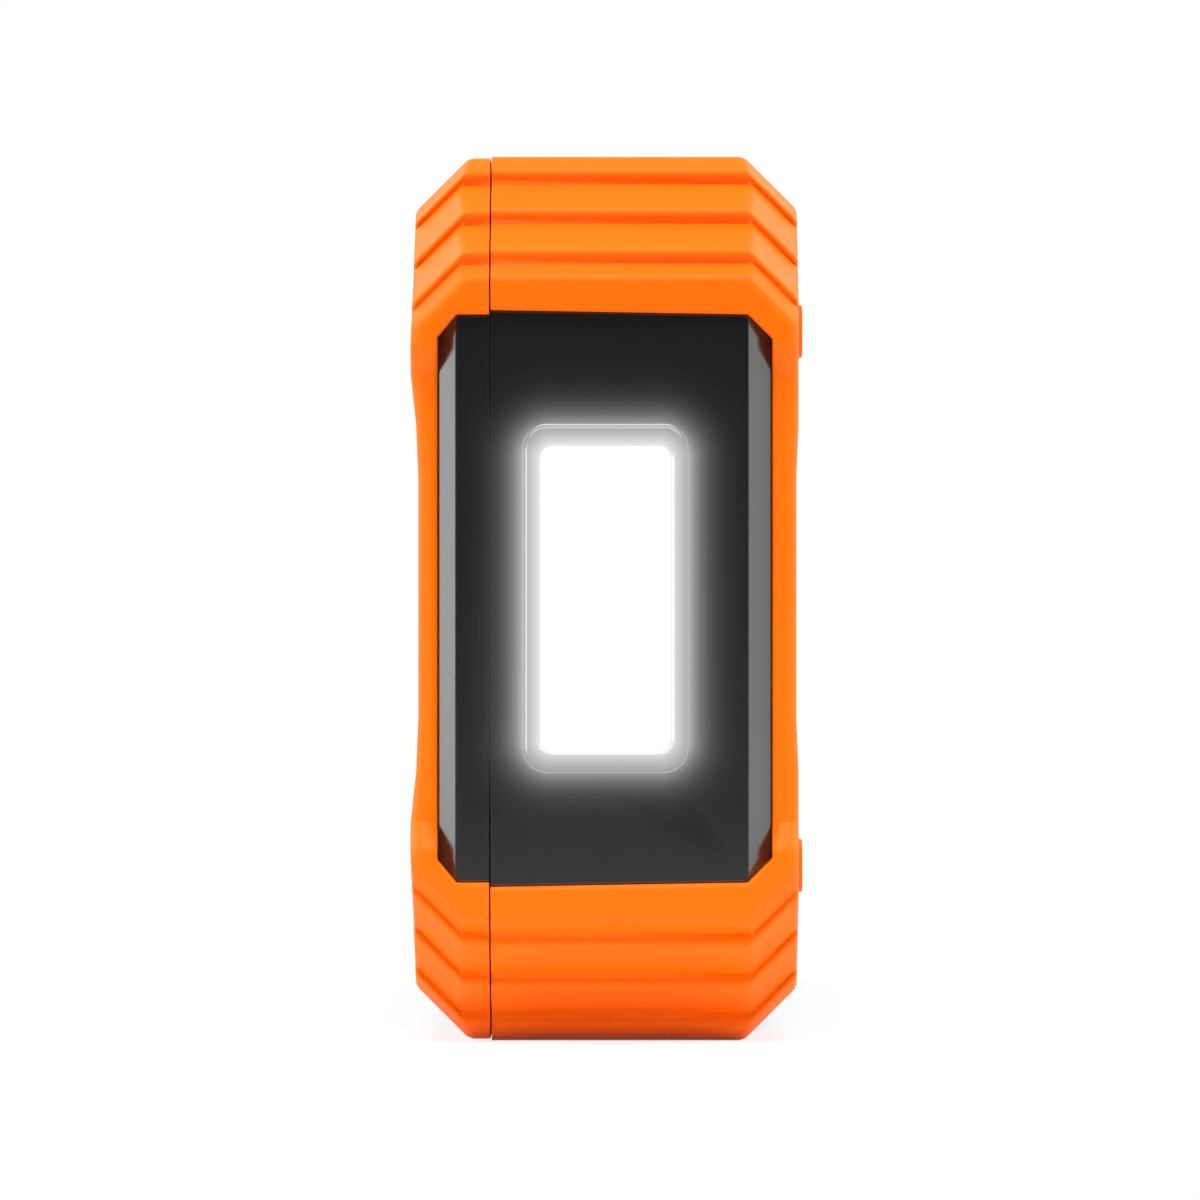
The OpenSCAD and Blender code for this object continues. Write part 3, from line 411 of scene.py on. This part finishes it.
dress("lamp_reflector", finish("reflector_white", (0.85, 0.85, 0.85), 0.35, grain=0.3))
board_green = finish("board_green", (0.02, 0.12, 0.05), 0.3, grain=0.8, depth=0.01, clouds=0.3)
dress("lamp_board", board_green)
dress("lamp_chips", finish("chip_yellow", (0.9, 0.7, 0.2), 0.4, grain=0.1))
screw_steel = finish("screw_steel", (0.55, 0.55, 0.57), 0.32, grain=0.1, metallic=1.0)
dress("lamp_screws", screw_steel)
lead_red = finish("lead_red", (0.5, 0.02, 0.02), 0.4, grain=0.3)
dress("lamp_leads", lead_red)

# ---- display ----------------------------------------------------------------------------------
# A glossy black window, glued on a ledge of the front shell, with the module behind it. Its
# lit figures show the charge: a battery outline with bars, and two digits.

WINDOW_RADIUS = 0.18 * MM

window_black = finish("window_black", (0.006, 0.006, 0.007), 0.08, grain=2.0, depth=0.002,
                      clouds=0.2, coat=0.2, spread=0.02)


def round_front(skin, front_x, radius, segments):
    """Rounds the rim of a face that looks to the front."""
    rim = sharp_edges(skin, RIM_DEGREES, 0.05 * MM, lambda p: p.x < front_x + RIM_SLACK)
    round_off(skin, rim, radius, segments)


skin = merged("display_window")
window_low, window_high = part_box("display_window")
round_front(skin, window_low.x, WINDOW_RADIUS, 3)
new_piece(skin, "display_window_pane", "case", window_black,
          ["display_window"])
dress("display_module", finish("display_grey", (0.05, 0.05, 0.055), 0.4, grain=0.3))

MARK_THICKNESS = 0.08 * MM
MARK_HEIGHT = 0.02 * MM


def mark(skin, across, up, width, height, face_x):
    """A flat mark on the front face. Across runs to the right for who looks at the display."""
    size = Matrix.Diagonal((MARK_THICKNESS, width, height, 1))
    place = Matrix.Translation((face_x + MARK_THICKNESS / 2 - MARK_HEIGHT, -across, up))
    bmesh.ops.create_cube(skin, size=1, matrix=place @ size)


# Each stroke of a digit: its middle in shares of the digit's width and height, and if it lies
STROKES = {"top": (0.5, 1.0, True), "middle": (0.5, 0.5, True), "bottom": (0.5, 0.0, True),
           "upper_left": (0.0, 0.75, False), "upper_right": (1.0, 0.75, False),
           "lower_left": (0.0, 0.25, False), "lower_right": (1.0, 0.25, False)}
DIGITS = {8: list(STROKES), 5: ["top", "upper_left", "middle", "lower_right", "bottom"]}
DIGIT_H = 8.4 * MM
DIGIT_W = DIGIT_H / 2
DIGIT_ACROSS = {8: 3.6 * MM, 5: 10.2 * MM}
STROKE = 0.9 * MM
STROKE_GAP = STROKE * 1.3

BATTERY_ACROSS = -9.4 * MM
BATTERY_W = 15 * MM
BATTERY_H = 8.4 * MM
BATTERY_LINE = 0.6 * MM
POLE_ACROSS = 8.5 * MM
POLE_W = 1.2 * MM
POLE_H = 3.2 * MM
BAR_COUNT = 4
BAR_PITCH = 3.3 * MM
BAR_W = 2.4 * MM
BAR_H = 5.6 * MM


def digit(skin, figure, across, up, face_x):
    for name in DIGITS[figure]:
        share_across, share_up, flat = STROKES[name]
        length = DIGIT_W - STROKE_GAP if flat else DIGIT_H / 2 - STROKE_GAP
        mark(skin, across + share_across * DIGIT_W, up + share_up * DIGIT_H,
             length if flat else STROKE, STROKE if flat else length, face_x)


def battery(skin, across, up, face_x):
    for side in (-1, 1):
        mark(skin, across, up + side * (BATTERY_H - BATTERY_LINE) / 2, BATTERY_W,
             BATTERY_LINE, face_x)
        mark(skin, across + side * BATTERY_W / 2, up, BATTERY_LINE, BATTERY_H, face_x)
    mark(skin, across + POLE_ACROSS, up, POLE_W, POLE_H, face_x)
    for bar in range(BAR_COUNT):
        mark(skin, across + (bar - (BAR_COUNT - 1) / 2) * BAR_PITCH, up, BAR_W, BAR_H, face_x)


display_middle = (window_low + window_high) / 2
figures = bmesh.new()
for figure, across in DIGIT_ACROSS.items():
    digit(figures, figure, across - display_middle.y, display_middle.z - DIGIT_H / 2,
          window_low.x)
battery(figures, BATTERY_ACROSS - display_middle.y, display_middle.z, window_low.x)
mark_sharp(figures)
figure_light = finish("figure_light", (0.5, 0.75, 0.8), 0.4, grain=0.4)
figure_shader = figure_light.node_tree.nodes["Principled BSDF"]
figure_shader.inputs["Emission Color"].default_value = (0.6, 0.9, 1.0, 1)
figure_shader.inputs["Emission Strength"].default_value = 0.8
new_piece(figures, "display_figures", "case", figure_light)

# ---- power button -----------------------------------------------------------------------------
# A round black button of hard plastic in a hole of the front shell, with the usual sign for
# power printed on its face. It presses the small switch on the control board behind it.

BUTTON_RADIUS = 0.5 * MM
SIGN_RADIUS = 3.4 * MM
SIGN_STROKE = 0.7 * MM
SIGN_BAR_UP = 2.6 * MM
SIGN_BAR_H = 3.6 * MM
SIGN_OPENING = 76

button_black = finish("button_black", (0.03, 0.03, 0.032), 0.35, grain=0.1, depth=0.004)
skin = merged("power_button")
button_low, button_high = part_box("power_button")
round_front(skin, button_low.x, BUTTON_RADIUS, 4)
new_piece(skin, "power_button_cap", "button", button_black, ["power_button"])

button_middle = (button_low + button_high) / 2
sign = bmesh.new()
mark(sign, -button_middle.y, button_middle.z + SIGN_BAR_UP, SIGN_STROKE, SIGN_BAR_H,
     button_low.x)
arc_start = (Matrix.Translation((button_low.x + MARK_THICKNESS / 2 - MARK_HEIGHT,
                                 button_middle.y, button_middle.z + SIGN_RADIUS))
             @ Matrix.Diagonal((MARK_THICKNESS, 1, SIGN_STROKE, 1))
             @ Matrix.Rotation(math.radians(90), 4, "X"))
corners = bmesh.ops.create_grid(sign, x_segments=1, y_segments=1, size=0.5,
                                matrix=arc_start)["verts"]
bmesh.ops.rotate(sign, verts=corners, cent=button_middle,
                 matrix=Matrix.Rotation(math.radians(SIGN_OPENING / 2), 3, "X"))
end_face = corners[0].link_faces[0]
bmesh.ops.spin(sign, geom=[*corners, *end_face.edges, end_face], cent=button_middle,
               axis=(1, 0, 0), angle=math.radians(360 - SIGN_OPENING), steps=40,
               use_merge=False)
bmesh.ops.recalc_face_normals(sign, faces=sign.faces)
mark_sharp(sign)
sign_white = finish("sign_white", (0.75, 0.75, 0.75), 0.4, grain=0.3)
new_piece(sign, "power_sign", "button", sign_white)
dress("switch_plunger", finish("plunger_grey", (0.2, 0.2, 0.2), 0.4, grain=0.2))
dress("switch_body", finish("switch_steel", (0.6, 0.6, 0.6), 0.35, grain=0.2, metallic=1.0))

# ---- boards -----------------------------------------------------------------------------------
# The control board on its posts behind the front face, with its tall parts, and the output
# board that carries the small sockets; a pin strip joins the two.

dress("control_board", board_green)
dress("output_board", board_green)
dress("power_inductor", finish("ferrite_grey", (0.08, 0.08, 0.085), 0.6, grain=0.3))
dress("capacitors", finish("capacitor_can", (0.1, 0.12, 0.2), 0.3, grain=0.4))
dress("board_screws", screw_steel)
dress("board_header", finish("header_brass", (0.7, 0.5, 0.2), 0.3, grain=0.1, metallic=1.0))

# ---- battery ----------------------------------------------------------------------------------
# Three pouch cells in a stack between thin foams, with nickel tabs to the balance board and two
# heavy leads to the jump socket.

cell_pouch = finish("cell_pouch", (0.45, 0.47, 0.5), 0.3, grain=1.2, depth=0.05, metallic=0.8)
for node in ("cell_front", "cell_middle", "cell_rear"):
    dress(node, cell_pouch)
foam_black = finish("foam_black", (0.03, 0.03, 0.03), 0.9, grain=0.5, depth=0.1)
dress("foam_front", foam_black)
dress("foam_rear", foam_black)
dress("cell_tabs", finish("tab_nickel", (0.6, 0.58, 0.52), 0.3, grain=0.3, metallic=1.0))
dress("balance_board", board_green)
dress("positive_lead", lead_red)
dress("negative_lead", finish("lead_black", (0.02, 0.02, 0.02), 0.4, grain=0.3))

# ---- sockets ----------------------------------------------------------------------------------
# The blue jump socket with its two gold-flashed contacts, two charging sockets in steel shells
# and a black barrel socket, all behind the covers of the end panel.

dress("jump_socket", finish("socket_blue", (0.02, 0.07, 0.42), 0.38, grain=0.12))
contact_brass = finish("contact_brass", (0.75, 0.52, 0.18), 0.25, grain=0.08, metallic=1.0)
dress("positive_contact", contact_brass)
dress("negative_contact", contact_brass)
port_steel = finish("port_steel", (0.62, 0.62, 0.63), 0.28, grain=0.1, metallic=1.0)
dress("usb_a_socket", port_steel)
dress("usb_c_socket", port_steel)
dress("dc_socket", finish("dc_black", (0.02, 0.02, 0.02), 0.4, grain=0.15))

# ---- covers -----------------------------------------------------------------------------------
# Two soft black rubber covers with a finger tab each, which swing on a bead along one edge. The
# anchors that hold the beads are pushed into the end panel.

COVER_FACE_Y = 86.8 * MM
COVER_RADIUS = 0.16 * MM
COVER_EDGE = 0.3 * MM

cover_rubber = finish("cover_rubber", (0.018, 0.018, 0.018), 0.62, grain=0.18, depth=0.01,
                      clouds=0.12, specular=0.3)
for node in ("jump_cover", "port_cover"):
    skin = merged(node)
    rim = sharp_edges(skin, RIM_DEGREES, COVER_EDGE, lambda p: p.y > COVER_FACE_Y)
    round_off(skin, rim, COVER_RADIUS, 3)
    new_piece(skin, node + "_moulding", node, cover_rubber, [node])
    dress(node + "_anchor", cover_rubber)

# ---- case screws ------------------------------------------------------------------------------
# Six steel screws with a cross recess, deep in their bores in the rear shell.

dress("case_screws", screw_steel)

# ---- studio -----------------------------------------------------------------------------------
# A small white table in a white room with a dark side behind the camera, a broad key light
# overhead, two softboxes and a small low light on each side, and a camera that looks along the
# pack at its lamp end.

ROOM_LEVEL = 0.12
DARK_SIDE = 0.03
DARK_FROM = -0.75
DARK_TO = -0.1

scene = bpy.context.scene
scene.view_settings.view_transform = "Standard"


def seen_directly(tree):
    """1 for rays that show the background: from the camera, or by a mirror or glass."""
    path = tree.nodes.new("ShaderNodeLightPath")
    direct = math_node(tree, "MAXIMUM", path.outputs["Is Camera Ray"],
                       path.outputs["Is Glossy Ray"])
    return math_node(tree, "MAXIMUM", direct, path.outputs["Is Transmission Ray"])


def ramp(tree, value, start, end, low, high):
    """A value that goes smoothly from low to high while the input goes from start to end."""
    node = tree.nodes.new("ShaderNodeMapRange")
    node.interpolation_type = "SMOOTHSTEP"
    for socket, number in zip(node.inputs[1:5], (start, end, low, high)):
        socket.default_value = number
    join(tree, value, node.inputs["Value"])
    return node.outputs["Result"]


world = bpy.data.worlds.new("studio")
scene.world = world
world.use_nodes = True
tree = world.node_tree
tree.nodes.clear()
direction = tree.nodes.new("ShaderNodeTexCoord")
axes = tree.nodes.new("ShaderNodeSeparateXYZ")
join(tree, direction.outputs["Generated"], axes.inputs[0])
dark_side = ramp(tree, axes.outputs["Y"], DARK_FROM, DARK_TO, DARK_SIDE, 1.0)
path = tree.nodes.new("ShaderNodeLightPath")
backdrop_level = math_node(tree, "MAXIMUM", dark_side, path.outputs["Is Camera Ray"])
room = tree.nodes.new("ShaderNodeBackground")
room.inputs["Strength"].default_value = ROOM_LEVEL
room.inputs["Color"].default_value = (1, 1, 1, 1)
backdrop = tree.nodes.new("ShaderNodeBackground")
backdrop.inputs["Color"].default_value = (1, 1, 1, 1)
join(tree, backdrop_level, backdrop.inputs["Strength"])
mix = tree.nodes.new("ShaderNodeMixShader")
join(tree, seen_directly(tree), mix.inputs["Fac"])
join(tree, room.outputs[0], mix.inputs[1])
join(tree, backdrop.outputs[0], mix.inputs[2])
join(tree, mix.outputs[0], tree.nodes.new("ShaderNodeOutputWorld").inputs["Surface"])

# The table keeps the shadow near the pack, and goes over into the white room round it
TABLE_FRONT = 150 * MM
TABLE_BACK = 700 * MM
TABLE_HALF = 600 * MM
TABLE_SHARE = 0.77
SHADOW_NEAR = 120 * MM
SHADOW_FAR = 230 * MM

table_skin = bmesh.new()
bmesh.ops.create_grid(table_skin, x_segments=1, y_segments=1, size=1.0)
bmesh.ops.scale(table_skin, verts=table_skin.verts,
                vec=(TABLE_HALF, (TABLE_FRONT + TABLE_BACK) / 2, 1))
bmesh.ops.translate(table_skin, verts=table_skin.verts,
                    vec=(0, cad_low.y + (TABLE_BACK - TABLE_FRONT) / 2, 0))
table_mesh = bpy.data.meshes.new("table")
table_skin.to_mesh(table_mesh)
table_skin.free()
table = bpy.data.objects.new("table", table_mesh)
scene.collection.objects.link(table)
table_white = bpy.data.materials.new("table_white")
table_white.use_nodes = True
tree = table_white.node_tree
tree.nodes.clear()
paint = tree.nodes.new("ShaderNodeBsdfDiffuse")
paint.inputs["Color"].default_value = (0.92, 0.92, 0.92, 1)
shine = tree.nodes.new("ShaderNodeEmission")
shine.inputs["Strength"].default_value = 1.0
place = tree.nodes.new("ShaderNodeTexCoord")
length = tree.nodes.new("ShaderNodeVectorMath")
length.operation = "LENGTH"
join(tree, place.outputs["Object"], length.inputs[0])
share = ramp(tree, length.outputs["Value"], SHADOW_NEAR, SHADOW_FAR, TABLE_SHARE, 1.0)
mix = tree.nodes.new("ShaderNodeMixShader")
join(tree, math_node(tree, "MULTIPLY", seen_directly(tree), share), mix.inputs["Fac"])
join(tree, paint.outputs[0], mix.inputs[1])
join(tree, shine.outputs[0], mix.inputs[2])
join(tree, mix.outputs[0], tree.nodes.new("ShaderNodeOutputMaterial").inputs["Surface"])
table_mesh.materials.append(table_white)

# Each softbox: its place and width in metres, and the brightness of its face
SOFTBOXES = {
    "key": ((0, -0.5, 0.98), 0.85, 6.6),
    "left_fill": ((-1.05, 0.15, 0.55), 0.9, 3.9),
    "right_fill": ((1.05, 0.15, 0.55), 0.9, 3.7),
    "left_back": ((-0.7, 0.6, 0.74), 0.6, 3.0),
    "right_back": ((0.7, 0.6, 0.74), 0.6, 3.0),
    "left_glint": ((-1.03, -0.67, 0.08), 0.36, 3.0),
    "right_glint": ((0.85, -0.92, 0.08), 0.36, 1.8),
}
end_middle = Vector((0, cad_low.y, MIDDLE_Z))
for name, (place, width, brightness) in SOFTBOXES.items():
    light = bpy.data.lights.new(name, "AREA")
    light.shape = "SQUARE"
    light.size = width
    light.energy = brightness * math.pi * width * width
    lamp = bpy.data.objects.new(name, light)
    lamp.location = place
    lamp.rotation_euler = (end_middle - Vector(place)).to_track_quat("-Z", "Y").to_euler()
    scene.collection.objects.link(lamp)

EYE_DISTANCE = 900 * MM
EYE_X = -0.6 * MM
EYE_Z = 40.86 * MM
VIEW_WIDTH = 109.92 * MM
SENSOR_WIDTH = 36

camera_data = bpy.data.cameras.new("camera")
camera_data.sensor_fit = "HORIZONTAL"
camera_data.sensor_width = SENSOR_WIDTH
camera_data.lens = SENSOR_WIDTH * EYE_DISTANCE / VIEW_WIDTH
camera = bpy.data.objects.new("camera", camera_data)
camera.location = (EYE_X, cad_low.y - EYE_DISTANCE, EYE_Z)
camera.rotation_euler = (math.radians(90), 0, 0)
scene.collection.objects.link(camera)
bpy.context.scene.camera = camera
